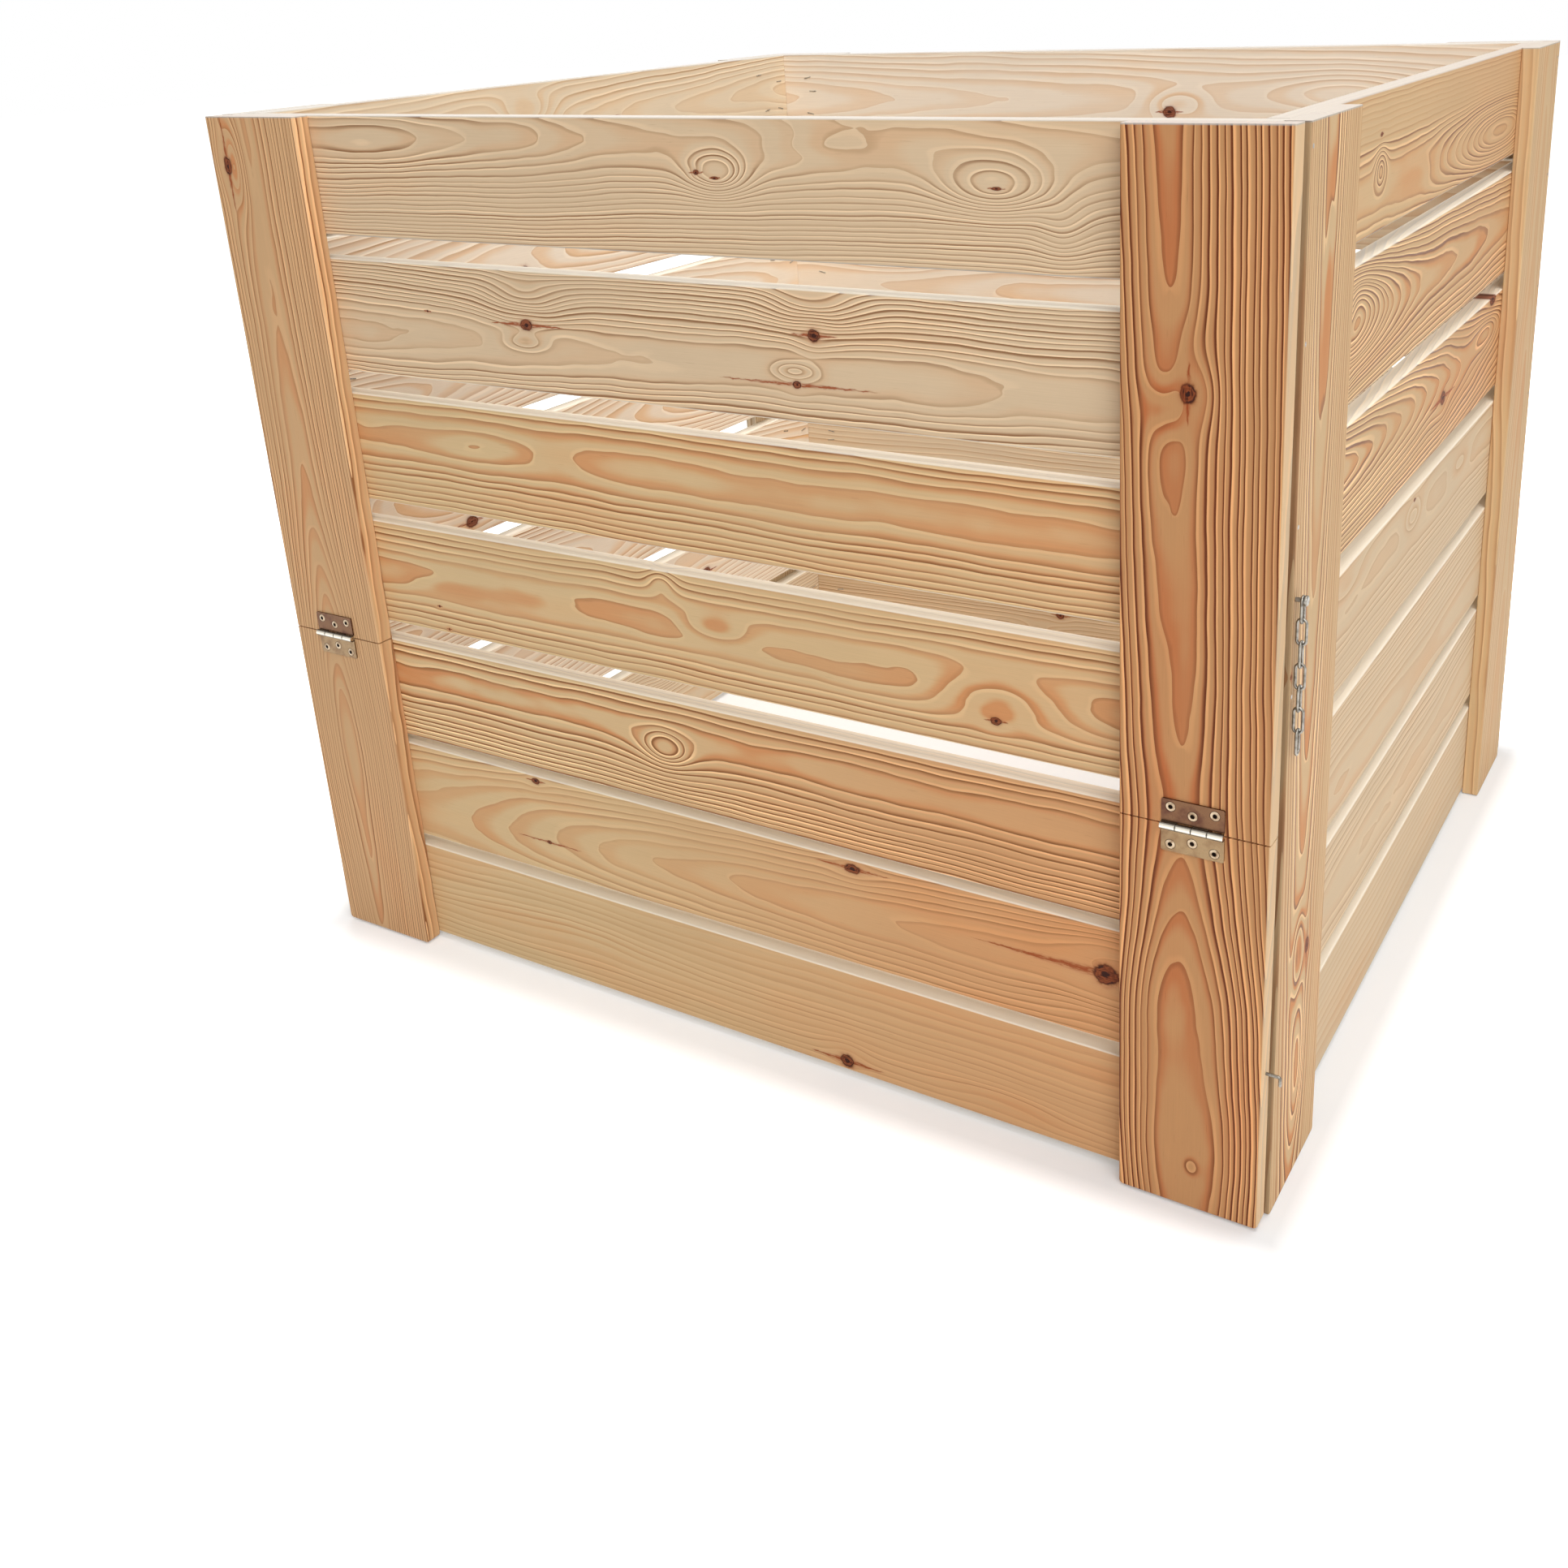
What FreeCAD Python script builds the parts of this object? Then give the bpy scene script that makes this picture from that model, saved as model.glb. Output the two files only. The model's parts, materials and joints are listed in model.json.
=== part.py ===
import FreeCAD, Part
import math
import os

os.makedirs("parts", exist_ok=True)
Vector = FreeCAD.Vector

# Timber compost bin: four slatted panels, open at the top and the bottom, with a flap at the front.
# All sizes in millimetres. While it is built, the front posts' outer faces are at y = 0, the middle
# of the bin is at x = 0 and the ground is at z = 0. Everything is moved to its origin at the end.

# Overall sizes
bin_width = 1050.0
bin_depth = 950.0

# Boards and posts
board_count = 7
board_width = 108.0
board_thick = 18.0
board_gap = 17.5
post_width = 120.0
post_thick = 18.0
foot_height = 7.0
edge_round = 1.6
foot_round = 4.0

# Corners: a front or back post covers the edge of the side post beside it
post_inset = 3.0
corner_gap = 3.0
seat_play = 0.4

# Front panel: the boards above the saw cut are fixed, those below it are the flap
fixed_boards = 4
flap_boards = 3
flap_upper_gap = 9.0
flap_lower_gap = 12.0
cut_to_fixed_board = 17.8
cut_to_flap_board = 0.5
saw_kerf = 1.2
flap_end_play = 4.0
flap_floor_gap = 2.0
flap_open_angle = 158.0

# Hinges
hinge_length = 50.0
leaf_reach = 22.0
leaf_thick = 1.5
leaf_corner = 1.5
barrel_radius = 3.0
knuckle_count = 4
knuckle_play = 0.3
barrel_play = 0.4
pin_radius = 1.5
pin_play = 0.05
hole_from_end = 7.5
outer_hole_from_edge = 6.0
middle_hole_from_edge = 10.5

# Hinge screws
screw_length = 16.0
screw_radius = 1.75
screw_head_radius = 3.75
screw_head_dome = 0.5
screw_point = 4.0
screw_play = 0.05
recess_length = 3.6
recess_width = 0.9
recess_depth = 1.1

# Staples, driven from the inside of the bin
staple_crown = 10.7
staple_wire = 1.0
staple_wire_width = 1.3
staple_leg = 30.0
staple_proud = 0.5
staple_tilt = 12.0
staple_spread = 4.0

# Corner nails, driven through the side posts into the ends of the front and back boards
nail_length = 45.0
nail_radius = 0.9
nail_head_radius = 1.7
nail_head_thick = 1.0
nail_share_of_board = 0.85

# Chain that holds the flap up
chain_links = 7
link_pitch = 17.5
link_wire = 2.2
link_width = 9.0
link_play = 0.2
chain_from_post = 5.5
chain_screw_radius = 1.7
chain_screw_length = 40.0
chain_screw_head_radius = 4.0
chain_screw_head_thick = 2.2
chain_screw_play = 0.5
hook_radius = 1.3
hook_depth = 18.0
hook_tip = 6.0
hook_bend = 1.8

# Worked out from the sizes above
bin_height = foot_height + board_count * board_width + (board_count - 1) * board_gap
half_width = bin_width / 2
front_board_back = post_thick + board_thick
side_board_end = front_board_back + seat_play
post_outer_x = half_width - post_inset
post_inner_x = post_outer_x - post_width
post_middle_x = (post_outer_x + post_inner_x) / 2
side_board_outer_x = half_width - post_thick
side_board_inner_x = side_board_outer_x - board_thick
side_post_front = post_thick + corner_gap
front_board_middle = post_thick + board_thick / 2
flap_height = flap_boards * board_width + flap_upper_gap + flap_lower_gap
hinge_z = foot_height + flap_height + cut_to_flap_board + saw_kerf / 2
flap_post_top = hinge_z - saw_kerf / 2
fixed_post_bottom = hinge_z + saw_kerf / 2
fixed_height = bin_height - fixed_post_bottom - cut_to_fixed_board
front_gap = (fixed_height - fixed_boards * board_width) / (fixed_boards - 1)
hinge_y = -barrel_radius

# The hooked chain lies level from its screw to the hook on the raised flap, which sets both heights
chain_x = half_width + chain_from_post
chain_screw_y = front_board_middle
chain_span = chain_links * (link_pitch - link_play) - chain_screw_radius - hook_radius
hook_y = post_thick / 2
hook_behind_hinge = hook_y - hinge_y
open_sine = math.sin(math.radians(flap_open_angle))
open_cosine = math.cos(math.radians(flap_open_angle))
hook_reach = hinge_y + hook_behind_hinge * open_cosine + chain_span - chain_screw_y
hook_below_hinge = hook_reach / open_sine
hook_z = hinge_z - hook_below_hinge
chain_screw_z = hinge_z - hook_behind_hinge * open_sine - hook_below_hinge * open_cosine

# The origin is the middle of the whole bin on the ground
reach_right = chain_x + link_width / 2
reach_front = 2 * barrel_radius
to_origin = Vector((half_width - reach_right) / 2, (reach_front - bin_depth) / 2, 0)

nodes = {}


def block(x0, x1, y0, y1, z0, z1):
    return Part.makeBox(x1 - x0, y1 - y0, z1 - z0, Vector(x0, y0, z0))


def rod(radius, start, direction, length):
    return Part.makeCylinder(radius, length, start, direction)


def ease_long_edges(timber, along):
    """Rounds the four long edges of a board or post, whose length runs along the given axis."""
    long_edges = []
    for edge in timber.Edges:
        run = edge.Vertexes[1].Point - edge.Vertexes[0].Point
        if abs(run.dot(along)) > 0.99 * run.Length:
            long_edges.append(edge)
    return timber.makeFillet(edge_round, long_edges)


def round_foot(post):
    """Rounds the two lower corners of a post's broad faces."""
    corners = []
    for edge in post.Edges:
        ends = [v.Point for v in edge.Vertexes]
        low = all(abs(end.z - post.BoundBox.ZMin) < 0.01 for end in ends)
        if low and abs(edge.Length - post_thick) < 0.01:
            corners.append(edge)
    return post.makeFillet(foot_round, corners)


def fuse_all(shapes):
    whole = shapes[0]
    for shape in shapes[1:]:
        whole = whole.fuse(shape)
    return whole.removeSplitter()


def pierce(timber, fasteners):
    """Takes the holes of every fastener that reaches this board or post out of it."""
    reach = timber.BoundBox
    near = [f for f in fasteners if reach.intersect(f.BoundBox)]
    if not near:
        return timber
    return timber.cut(near)


def keep(name, solids):
    nodes[name] = solids if isinstance(solids, list) else [solids]


# Timber


def cross_board(half_length, y0, top):
    board = block(-half_length, half_length, y0, y0 + board_thick, top - board_width, top)
    return ease_long_edges(board, Vector(1, 0, 0))


def side_board(side, top):
    low_x = min(side * side_board_inner_x, side * side_board_outer_x)
    board = block(
        low_x, low_x + board_thick,
        side_board_end, bin_depth - side_board_end,
        top - board_width, top,
    )
    return ease_long_edges(board, Vector(0, 1, 0))


def cross_post(side, y0, bottom, top):
    low_x = min(side * post_inner_x, side * post_outer_x)
    post = block(low_x, low_x + post_width, y0, y0 + post_thick, bottom, top)
    if bottom < fixed_post_bottom:
        post = round_foot(post)
    return ease_long_edges(post, Vector(0, 0, 1))


def side_post(side, y0):
    low_x = min(side * side_board_outer_x, side * half_width)
    post = block(low_x, low_x + post_thick, y0, y0 + post_width, 0, bin_height)
    return ease_long_edges(round_foot(post), Vector(0, 0, 1))


def even_tops():
    """Top edges of a whole panel's boards, from the highest to the lowest."""
    return [bin_height - i * (board_width + board_gap) for i in range(board_count)]


def fixed_front_tops():
    return [bin_height - i * (board_width + front_gap) for i in range(fixed_boards)]


def flap_tops():
    lowest = foot_height + board_width
    middle = lowest + flap_lower_gap + board_width
    highest = middle + flap_upper_gap + board_width
    return [highest, middle, lowest]


# Staples


def staple(place, crown, outward, tilt):
    """A wire staple whose crown lies across a board and whose legs go into the wood."""
    half = staple_crown / 2
    deep = staple_proud - staple_leg
    outline = [
        (-half, staple_proud), (half, staple_proud), (half, deep), (half - staple_wire, deep),
        (half - staple_wire, staple_proud - staple_wire),
        (staple_wire - half, staple_proud - staple_wire),
        (staple_wire - half, deep), (-half, deep),
    ]
    points = [Vector(a, -staple_wire_width / 2, b) for a, b in outline]
    face = Part.Face(Part.makePolygon(points + points[:1]))
    wire = face.extrude(Vector(0, staple_wire_width, 0))
    wire.rotate(Vector(0, 0, 0), Vector(0, 0, 1), tilt)
    turn = FreeCAD.Rotation(crown, outward.cross(crown), outward, "ZXY")
    wire.Placement = FreeCAD.Placement(place, turn).multiply(wire.Placement)
    return wire


# Distance of each staple from the inner corner of the bin, and below the top edge of its board
cross_staple_places = [(37.0, 32.0), (42.0, 46.5), (43.0, 80.0), (50.5, 97.0)]
side_staple_places = [(17.0, 33.0), (18.0, 72.0), (59.0, 21.0), (51.0, 71.0)]


def uneven(index):
    """A small steady wander, so that no two columns of staples are alike."""
    return staple_spread * math.sin(2.4 * index)


def cross_panel_staples(tops, inner_face_y, outward):
    """Staples of a front or back panel, a column at each end of every board."""
    made = []
    for row, top in enumerate(tops):
        for side in (-1, 1):
            for i, (from_corner, below) in enumerate(cross_staple_places):
                count = 8 * row + 4 * (side + 1) // 2 + i
                x = side * (side_board_inner_x - from_corner - uneven(count))
                place = Vector(x, inner_face_y, top - below + uneven(count + 1) / 2)
                tilt = staple_tilt * math.cos(1.7 * count)
                made.append(staple(place, Vector(1, 0, 0), Vector(0, outward, 0), tilt))
    return made


def side_panel_staples(side, tops):
    made = []
    for row, top in enumerate(tops):
        for end in (0, 1):
            for i, (from_corner, below) in enumerate(side_staple_places):
                count = 8 * row + 4 * end + i
                inward = from_corner + uneven(count)
                front = front_board_back + inward
                y = front if end == 0 else bin_depth - front
                z = top - below + uneven(count + 1) / 2
                place = Vector(side * side_board_inner_x, y, z)
                tilt = staple_tilt * math.cos(1.9 * count)
                made.append(staple(place, Vector(0, 1, 0), Vector(-side, 0, 0), tilt))
    return made


# Nails


def corner_nail(side, y, z):
    into = Vector(-side, 0, 0)
    start = Vector(side * half_width, y, z)
    shank = rod(nail_radius, start, into, nail_length)
    head = rod(nail_head_radius, start, into, nail_head_thick)
    return fuse_all([shank, head])


def corner_nails(side):
    made = []
    for top in fixed_front_tops():
        z = top - board_width + nail_share_of_board * board_width
        made.append(corner_nail(side, front_board_middle, z))
    for top in even_tops():
        z = top - board_width + nail_share_of_board * board_width
        made.append(corner_nail(side, bin_depth - front_board_middle, z))
    return made


# Hinges


def knuckle_span(index):
    """Where one knuckle starts along the hinge, and its length."""
    length = (hinge_length - (knuckle_count - 1) * knuckle_play) / knuckle_count
    return index * (length + knuckle_play), length


def hinge_hole_places(up):
    """Middles of the three screw holes of a leaf: along the hinge from its middle, and height."""
    side_hole = hinge_length / 2 - hole_from_end
    outer = hinge_z + up * (leaf_reach - outer_hole_from_edge)
    middle = hinge_z + up * (leaf_reach - middle_hole_from_edge)
    return [(-side_hole, outer), (0, middle), (side_hole, outer)]


def hinge_leaf(x_middle, up):
    """A leaf screwed to a post. The upper one has the even knuckles, the lower the odd ones."""
    left = x_middle - hinge_length / 2
    far = hinge_z + up * leaf_reach
    leaf = block(left, left + hinge_length, -leaf_thick, 0, min(hinge_z, far), max(hinge_z, far))
    corners = []
    for edge in leaf.Edges:
        middle = edge.CenterOfMass
        if abs(middle.y + leaf_thick / 2) < 0.01 and abs(middle.z - far) < 0.01:
            corners.append(edge)
    leaf = leaf.makeFillet(leaf_corner, corners)
    notch = barrel_radius + barrel_play
    own = []
    for index in range(knuckle_count):
        start, length = knuckle_span(index)
        x = left + start
        if (index % 2 == 0) == (up > 0):
            own.append(rod(barrel_radius, Vector(x, hinge_y, hinge_z), Vector(1, 0, 0), length))
            continue
        x0 = x - knuckle_play
        x1 = x + length + knuckle_play
        leaf = leaf.cut(block(x0, x1, -notch, notch, hinge_z - notch, hinge_z + notch))
    leaf = fuse_all([leaf] + own)
    bore = rod(
        pin_radius + pin_play, Vector(left - 1, hinge_y, hinge_z), Vector(1, 0, 0), hinge_length + 2
    )
    leaf = leaf.cut(bore)
    for along, z in hinge_hole_places(up):
        countersink = Part.makeCone(
            screw_head_radius + screw_play, screw_radius + screw_play, leaf_thick,
            Vector(x_middle + along, -leaf_thick, z), Vector(0, 1, 0),
        )
        leaf = leaf.cut(countersink)
    return leaf


def hinge_pin(x_middle):
    start = Vector(x_middle - hinge_length / 2, hinge_y, hinge_z)
    return rod(pin_radius, start, Vector(1, 0, 0), hinge_length)


def hinge_screw(x, z, turn):
    """A countersunk screw with a slightly domed head and a cross recess."""
    into = Vector(0, 1, 0)
    front = Vector(x, -leaf_thick, z)
    head = Part.makeCone(screw_head_radius, screw_radius, leaf_thick, front, into)
    shank = rod(screw_radius, front, into, screw_length - screw_point)
    point_start = front + into * (screw_length - screw_point)
    point = Part.makeCone(screw_radius, 0.3, screw_point, point_start, into)
    ball_radius = (screw_head_radius ** 2 + screw_head_dome ** 2) / (2 * screw_head_dome)
    ball = Part.makeSphere(ball_radius, front + into * (ball_radius - screw_head_dome))
    dome = ball.common(rod(screw_head_radius, front, into * -1, screw_head_dome * 2))
    screw = fuse_all([head, shank, point, dome])
    top = -leaf_thick - screw_head_dome
    for angle in (turn, turn + 90):
        slot = block(
            x - recess_length / 2, x + recess_length / 2,
            top - 1, top + recess_depth,
            z - recess_width / 2, z + recess_width / 2,
        )
        slot.rotate(front, into, angle)
        screw = screw.cut(slot)
    return screw


def hinge_screws(up):
    made = []
    for side in (-1, 1):
        for i, (along, z) in enumerate(hinge_hole_places(up)):
            made.append(hinge_screw(side * post_middle_x + along, z, 25 * i + 10 * side + 5 * up))
    return made


def hinge_screw_holes(up):
    """Holes in the post for the screws of both hinges' leaves on one side of the saw cut."""
    made = []
    for side in (-1, 1):
        for along, z in hinge_hole_places(up):
            start = Vector(side * post_middle_x + along, 0, z)
            depth = screw_length - leaf_thick
            made.append(rod(screw_radius + screw_play, start, Vector(0, 1, 0), depth))
    return made


# Chain


def sweep_wire(path_edges, radius, start, direction):
    path = Part.Wire(path_edges)
    ring = Part.Wire(Part.makeCircle(radius, start, direction))
    return path.makePipeShell([ring], True, True)


def chain_link(middle_z, wide):
    """One oval link that hangs along Z. The wide axis is the one that it is wide along."""
    bend = (link_width - link_wire) / 2
    straight = (link_pitch + link_wire) / 2 - bend
    up = Vector(0, 0, 1)
    centre = Vector(chain_x, chain_screw_y, middle_z)
    top = centre + up * straight
    low = centre - up * straight
    right_low = low + wide * bend
    right_top = top + wide * bend
    left_top = top - wide * bend
    left_low = low - wide * bend
    edges = [
        Part.LineSegment(right_low, right_top).toShape(),
        Part.Arc(right_top, top + up * bend, left_top).toShape(),
        Part.LineSegment(left_top, left_low).toShape(),
        Part.Arc(left_low, low - up * bend, right_low).toShape(),
    ]
    return sweep_wire(edges, link_wire / 2, right_low, up)


def chain():
    """The links, alternately turned, hanging from the first one's inner end on the screw."""
    first_middle = chain_screw_z + chain_screw_radius + link_play / 2 - link_pitch / 2
    made = []
    for index in range(chain_links):
        wide = Vector(0, 1, 0) if index % 2 == 0 else Vector(1, 0, 0)
        made.append(chain_link(first_middle - index * (link_pitch - link_play), wide))
    return made


def chain_screw():
    """A round-head screw through the side post into the end of a front board."""
    out = Vector(1, 0, 0)
    head_under = chain_x + link_wire / 2 + chain_screw_play
    start = Vector(head_under - chain_screw_length, chain_screw_y, chain_screw_z)
    shank = rod(chain_screw_radius, start, out, chain_screw_length)
    head_start = Vector(head_under, chain_screw_y, chain_screw_z)
    head = rod(chain_screw_head_radius, head_start, out, chain_screw_head_thick)
    rim = [e for e in head.Edges if abs(e.CenterOfMass.x - head.BoundBox.XMax) < 0.01]
    head = head.makeFillet(chain_screw_head_thick * 0.6, rim)
    return fuse_all([shank, head])


def flap_hook():
    """A bent screw hook in the edge of the flap's right post. Its tip points to the free end."""
    out = Vector(1, 0, 0)
    down = Vector(0, 0, -1)
    tip_x = chain_x + link_wire / 2 + chain_screw_play + hook_radius
    root = Vector(post_outer_x - hook_depth, hook_y, hook_z)
    bend_start = Vector(tip_x - hook_bend, hook_y, hook_z)
    bend_centre = bend_start + down * hook_bend
    bend_middle = bend_centre + (out - down) * (hook_bend / math.sqrt(2))
    bend_end = bend_centre + out * hook_bend
    edges = [
        Part.LineSegment(root, bend_start).toShape(),
        Part.Arc(bend_start, bend_middle, bend_end).toShape(),
        Part.LineSegment(bend_end, bend_end + down * hook_tip).toShape(),
    ]
    return sweep_wire(edges, hook_radius, root, out)


# Panels


def make_side_panel(side, name, nails, chain_screws):
    tops = even_tops()
    staples = side_panel_staples(side, tops)
    fasteners = staples + nails + chain_screws
    for number, top in enumerate(tops, 1):
        keep(f"{name}_board_{number}", pierce(side_board(side, top), fasteners))
    rear = bin_depth - side_post_front - post_width
    keep(f"{name}_front_post", pierce(side_post(side, side_post_front), fasteners))
    keep(f"{name}_rear_post", pierce(side_post(side, rear), fasteners))
    keep(f"{name}_staples", staples)
    keep(f"{name}_corner_nails", nails)


def make_back_panel(nails):
    tops = even_tops()
    board_y = bin_depth - front_board_back
    staples = cross_panel_staples(tops, board_y, -1)
    fasteners = staples + nails
    for number, top in enumerate(tops, 1):
        board = cross_board(side_board_outer_x, board_y, top)
        keep(f"back_board_{number}", pierce(board, fasteners))
    for side, name in ((-1, "left"), (1, "right")):
        post = cross_post(side, bin_depth - post_thick, 0, bin_height)
        keep(f"back_{name}_post", pierce(post, fasteners))
    keep("back_staples", staples)


def make_fixed_front(nails, chain_screws):
    tops = fixed_front_tops()
    staples = cross_panel_staples(tops, front_board_back, 1)
    fasteners = staples + nails + chain_screws
    for number, top in enumerate(tops, 1):
        board = cross_board(side_board_outer_x, post_thick, top)
        keep(f"front_board_{number}", pierce(board, fasteners))
    for side, name in ((-1, "left"), (1, "right")):
        post = cross_post(side, 0, fixed_post_bottom, bin_height)
        keep(f"front_{name}_post", pierce(post, fasteners + hinge_screw_holes(1)))
    keep("front_staples", staples)


def make_flap(hook):
    tops = flap_tops()
    staples = cross_panel_staples(tops, front_board_back, 1)
    for number, top in enumerate(tops, 1):
        board = cross_board(side_board_outer_x - flap_end_play, post_thick, top)
        keep(f"flap_board_{number}", pierce(board, staples))
    for side, name in ((-1, "left"), (1, "right")):
        post = cross_post(side, 0, flap_floor_gap, flap_post_top)
        keep(f"flap_{name}_post", pierce(post, staples + hinge_screw_holes(-1) + [hook]))
    keep("flap_staples", staples)


def make_hinges():
    for side, name in ((-1, "left"), (1, "right")):
        keep(f"{name}_hinge_upper_leaf", hinge_leaf(side * post_middle_x, 1))
        keep(f"{name}_hinge_lower_leaf", hinge_leaf(side * post_middle_x, -1))
        keep(f"{name}_hinge_pin", hinge_pin(side * post_middle_x))
    keep("upper_hinge_screws", hinge_screws(1))
    keep("lower_hinge_screws", hinge_screws(-1))


def make_bin():
    left_nails = corner_nails(-1)
    right_nails = corner_nails(1)
    screw = chain_screw()
    hook = flap_hook()
    make_side_panel(-1, "left", left_nails, [])
    make_side_panel(1, "right", right_nails, [screw])
    make_back_panel(left_nails + right_nails)
    make_fixed_front(left_nails + right_nails, [screw])
    make_flap(hook)
    make_hinges()
    keep("chain_links", chain())
    keep("chain_screw", screw)
    keep("flap_hook", hook)


def export_nodes():
    for name, solids in nodes.items():
        shape = solids[0] if len(solids) == 1 else Part.makeCompound(solids)
        shape.translate(to_origin)
        if not shape.isValid():
            print("not valid:", name)
        if len(shape.Solids) != len(solids):
            print("solids:", name, len(shape.Solids), "for", len(solids))
        shape.exportStep(f"parts/{name}.step")


make_bin()
export_nodes()
print("nodes", len(nodes))
print("height", bin_height, "front gap", front_gap, "hinge height", hinge_z)
print("chain screw height", chain_screw_z, "hook height", hook_z, "origin shift", to_origin)
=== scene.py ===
import json
import math
import random
import bpy
from mathutils import Euler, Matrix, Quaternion, Vector


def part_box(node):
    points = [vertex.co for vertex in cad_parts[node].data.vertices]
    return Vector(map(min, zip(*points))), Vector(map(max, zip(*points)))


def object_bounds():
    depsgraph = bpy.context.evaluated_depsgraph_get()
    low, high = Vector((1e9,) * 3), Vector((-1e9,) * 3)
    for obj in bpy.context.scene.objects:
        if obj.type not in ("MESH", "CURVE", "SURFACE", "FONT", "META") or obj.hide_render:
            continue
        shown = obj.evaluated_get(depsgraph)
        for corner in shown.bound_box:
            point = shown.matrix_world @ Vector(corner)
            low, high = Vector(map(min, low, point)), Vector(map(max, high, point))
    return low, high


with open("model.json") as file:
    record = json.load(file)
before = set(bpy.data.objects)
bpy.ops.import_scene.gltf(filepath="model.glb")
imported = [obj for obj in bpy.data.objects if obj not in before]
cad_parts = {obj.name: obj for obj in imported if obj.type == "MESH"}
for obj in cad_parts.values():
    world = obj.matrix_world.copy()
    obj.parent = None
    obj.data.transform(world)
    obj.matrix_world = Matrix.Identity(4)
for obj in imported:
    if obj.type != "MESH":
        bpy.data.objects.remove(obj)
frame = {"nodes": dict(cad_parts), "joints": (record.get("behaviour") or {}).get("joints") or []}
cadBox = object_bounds()
nodes = frame["nodes"]
binTop = cadBox[1][2]
millimetres = 1000.0  # in a metre
print("frame loaded:", len(nodes), "pieces")


# Small helpers for node trees: a value is a number, a colour or another node's output

def feed(tree, socket, value):
    if isinstance(value, bpy.types.NodeSocket):
        tree.links.new(value, socket)
    else:
        socket.default_value = value


def calc(tree, operation, a, b=0.0, c=0.0, clamp=False):
    node = tree.nodes.new("ShaderNodeMath")
    node.operation = operation
    node.use_clamp = clamp
    for socket, value in zip(node.inputs, (a, b, c)):
        feed(tree, socket, value)
    return node.outputs[0]


def add(tree, a, b):
    return calc(tree, "ADD", a, b)


def less(tree, a, b):
    return calc(tree, "SUBTRACT", a, b)


def times(tree, a, b):
    return calc(tree, "MULTIPLY", a, b)


def divide(tree, a, b):
    return calc(tree, "DIVIDE", a, b)


def scaled(tree, value, factor, extra):  # value times factor, plus extra
    return calc(tree, "MULTIPLY_ADD", value, factor, extra)


def larger(tree, a, b):
    return calc(tree, "MAXIMUM", a, b)


def smaller(tree, a, b):
    return calc(tree, "MINIMUM", a, b)


def positive(tree, a):
    return calc(tree, "ABSOLUTE", a)


def square(tree, a):
    return calc(tree, "POWER", positive(tree, a), 2.0)


def distance(tree, a, b):
    return calc(tree, "SQRT", add(tree, square(tree, a), square(tree, b)))


def bell(tree, a, b):  # 1 where both are 0, falling away like a bell curve
    return calc(tree, "EXPONENT", times(tree, add(tree, square(tree, a), square(tree, b)), -1.0))


def ramp(tree, value, low, high, lowOut=0.0, highOut=1.0):
    node = tree.nodes.new("ShaderNodeMapRange")
    node.interpolation_type = "SMOOTHSTEP"
    numbers = {"Value": value, "From Min": low, "From Max": high, "To Min": lowOut, "To Max": highOut}
    for name, number in numbers.items():
        feed(tree, node.inputs[name], number)
    return node.outputs["Result"]


def pack(tree, x, y, z):
    node = tree.nodes.new("ShaderNodeCombineXYZ")
    for socket, value in zip(node.inputs, (x, y, z)):
        feed(tree, socket, value)
    return node.outputs[0]


def unpack(tree, vector):
    node = tree.nodes.new("ShaderNodeSeparateXYZ")
    feed(tree, node.inputs[0], vector)
    return node.outputs[0], node.outputs[1], node.outputs[2]


def vectorCalc(tree, operation, a, b):
    node = tree.nodes.new("ShaderNodeVectorMath")
    node.operation = operation
    feed(tree, node.inputs[0], a)
    feed(tree, node.inputs[1], b)
    return node.outputs[0]


def noise(tree, vector, stretch, seed, detail=2.0, roughness=0.5, colour=False):
    node = tree.nodes.new("ShaderNodeTexNoise")
    node.noise_dimensions = "4D"
    feed(tree, node.inputs["Vector"], vectorCalc(tree, "MULTIPLY", vector, stretch))
    feed(tree, node.inputs["W"], seed)
    node.inputs["Scale"].default_value = 1.0
    node.inputs["Detail"].default_value = detail
    node.inputs["Roughness"].default_value = roughness
    return node.outputs["Color" if colour else "Fac"]


def blendColour(tree, amount, a, b, way="MIX"):
    node = tree.nodes.new("ShaderNodeMix")
    node.data_type = "RGBA"
    node.blend_type = way
    feed(tree, node.inputs[0], amount)
    feed(tree, node.inputs[6], a)
    feed(tree, node.inputs[7], b)
    return node.outputs[2]


def shadeColour(tree, colour, shade):
    return blendColour(tree, 1.0, colour, pack(tree, shade, shade, shade), "MULTIPLY")


def screenColour(red, green, blue):  # 0 to 255 as seen on a screen, to the renderer's linear values
    parts = []
    for part in (red, green, blue):
        share = part / 255
        parts.append(share / 12.92 if share <= 0.04045 else ((share + 0.055) / 1.055) ** 2.4)
    return (*parts, 1.0)


def newGroup(name, inputs, outputs):  # inputs and outputs are labels, each with Float or Color
    group = bpy.data.node_groups.new(name, "ShaderNodeTree")
    for way, sockets in (("INPUT", inputs), ("OUTPUT", outputs)):
        for label, kind in sockets.items():
            group.interface.new_socket(label, in_out=way, socket_type="NodeSocket" + kind)
    entry = group.nodes.new("NodeGroupInput")
    leave = group.nodes.new("NodeGroupOutput")
    return group, {label: entry.outputs[label] for label in inputs}, leave


def useGroup(tree, group, **values):
    node = tree.nodes.new("ShaderNodeGroup")
    node.node_tree = group
    for name, value in values.items():
        feed(tree, node.inputs[name], value)
    return node.outputs


def bumpSurface(tree, shader, height, strength, depth):
    bump = tree.nodes.new("ShaderNodeBump")
    bump.inputs["Strength"].default_value = strength
    bump.inputs["Distance"].default_value = depth
    feed(tree, bump.inputs["Height"], height)
    feed(tree, shader.inputs["Normal"], bump.outputs["Normal"])


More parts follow.
